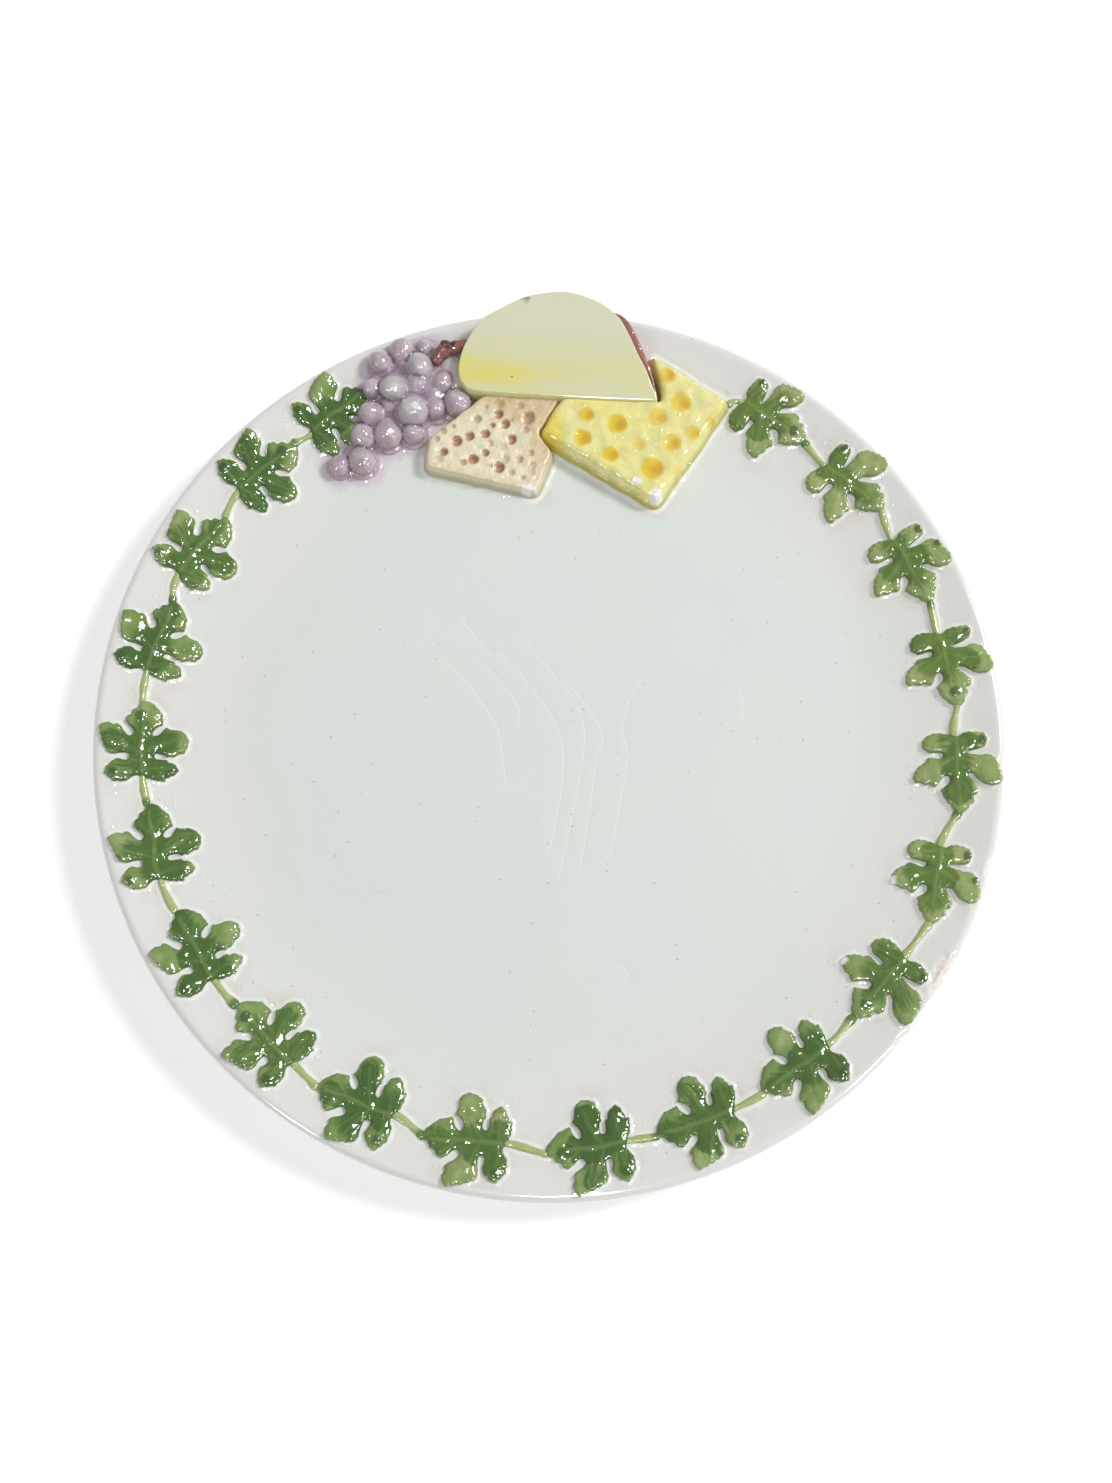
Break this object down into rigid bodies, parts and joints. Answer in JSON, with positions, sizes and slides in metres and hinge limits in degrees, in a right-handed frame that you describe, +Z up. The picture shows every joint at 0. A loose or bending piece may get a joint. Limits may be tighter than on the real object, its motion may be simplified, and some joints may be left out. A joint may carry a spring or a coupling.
{
  "type": "cheese plate",
  "caption": "Round glazed ceramic serving plate with a raised garland of vine leaves round its rim and a relief of cheeses, crispbread and grapes at its head.",
  "frame": {"origin": "on the dish's axis, in the plane of the foot ring that the plate stands on", "axes": "+Z up along the dish's axis, +Y towards the half wheel of cheese at the head of the plate, +X to the right, towards the holed cheese"},
  "size_m": [0.2998, 0.3034, 0.0263],
  "materials": {
    "white_glaze": "glossy cool-white glaze with fine knife scratches and chips at the rim",
    "pale_cheese_glaze": "glossy pale yellow-green glaze with yellow brush streaks",
    "rind_glaze": "glossy red-brown painted glaze",
    "yellow_cheese_glaze": "glossy yellow glaze, golden in the eyes",
    "crispbread_glaze": "semi-gloss cream and tan glaze, brown in the holes",
    "grape_glaze": "glossy lilac glaze, deeper purple between the berries",
    "stalk_glaze": "glossy red-brown painted glaze",
    "leaf_glaze": "glossy brushed green glaze, darker along the veins",
    "stem_glaze": "glossy pale yellow-green glaze"
  },
  "bodies": {
    "root": {"plate_body": "white_glaze", "half_wheel_cheese": "pale_cheese_glaze", "cheese_rind": "rind_glaze", "holed_cheese": "yellow_cheese_glaze", "crispbread": "crispbread_glaze", "grape_bunch": "grape_glaze", "grape_stalk": "stalk_glaze", "leaf_01": "leaf_glaze", "leaf_02": "leaf_glaze", "leaf_03": "leaf_glaze", "leaf_04": "leaf_glaze", "leaf_05": "leaf_glaze", "leaf_06": "leaf_glaze", "leaf_07": "leaf_glaze", "leaf_08": "leaf_glaze", "leaf_09": "leaf_glaze", "leaf_10": "leaf_glaze", "leaf_11": "leaf_glaze", "leaf_12": "leaf_glaze", "leaf_13": "leaf_glaze", "leaf_14": "leaf_glaze", "leaf_15": "leaf_glaze", "leaf_16": "leaf_glaze", "leaf_17": "leaf_glaze", "leaf_18": "leaf_glaze", "leaf_19": "leaf_glaze", "leaf_20": "leaf_glaze", "vine_stem_01": "stem_glaze", "vine_stem_02": "stem_glaze", "vine_stem_03": "stem_glaze", "vine_stem_04": "stem_glaze", "vine_stem_05": "stem_glaze", "vine_stem_06": "stem_glaze", "vine_stem_07": "stem_glaze", "vine_stem_08": "stem_glaze", "vine_stem_09": "stem_glaze", "vine_stem_10": "stem_glaze", "vine_stem_11": "stem_glaze", "vine_stem_12": "stem_glaze", "vine_stem_13": "stem_glaze", "vine_stem_14": "stem_glaze", "vine_stem_15": "stem_glaze", "vine_stem_16": "stem_glaze", "vine_stem_17": "stem_glaze", "vine_stem_18": "stem_glaze", "vine_stem_19": "stem_glaze", "vine_stem_20": "stem_glaze"}
  },
  "joints": []
}
